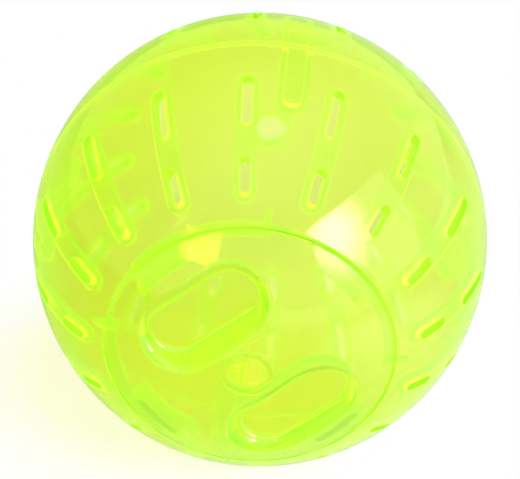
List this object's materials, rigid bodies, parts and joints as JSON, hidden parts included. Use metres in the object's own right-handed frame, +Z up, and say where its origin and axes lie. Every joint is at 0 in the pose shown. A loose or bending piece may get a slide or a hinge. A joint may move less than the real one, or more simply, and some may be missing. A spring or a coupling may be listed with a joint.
{
  "type": "hamster ball",
  "caption": "Clear round exercise ball for a small pet, moulded in two halves that plug together, with air slots and a flush twist-lock lid with finger wells.",
  "frame": {"origin": "centre of the ball, midway between the two hub holes", "axes": "+Y along the hub axis from the lid to the rear hub, +Z up, +X to the right as seen from the lid's side"},
  "size_m": [0.12, 0.1196, 0.12],
  "materials": {
    "clear_shell": "clear fluorescent yellow-green, polished",
    "clear_lid": "clear fluorescent yellow-green, polished"
  },
  "bodies": {
    "rear_half": {"rear_shell": "clear_shell"},
    "front_half": {"front_shell": "clear_shell"},
    "lid": {"lid": "clear_lid"}
  },
  "joints": [
    {"name": "halves_slide", "type": "slide", "parent": "rear_half", "child": "front_half", "axis": [0, -1, 0], "range_m": [0, 0.06]},
    {"name": "lid_turn", "type": "hinge", "parent": "front_half", "child": "lid", "pos_m": [0, -0.047, 0], "axis": [0, 1, 0], "range_deg": [-24, 34]}
  ]
}
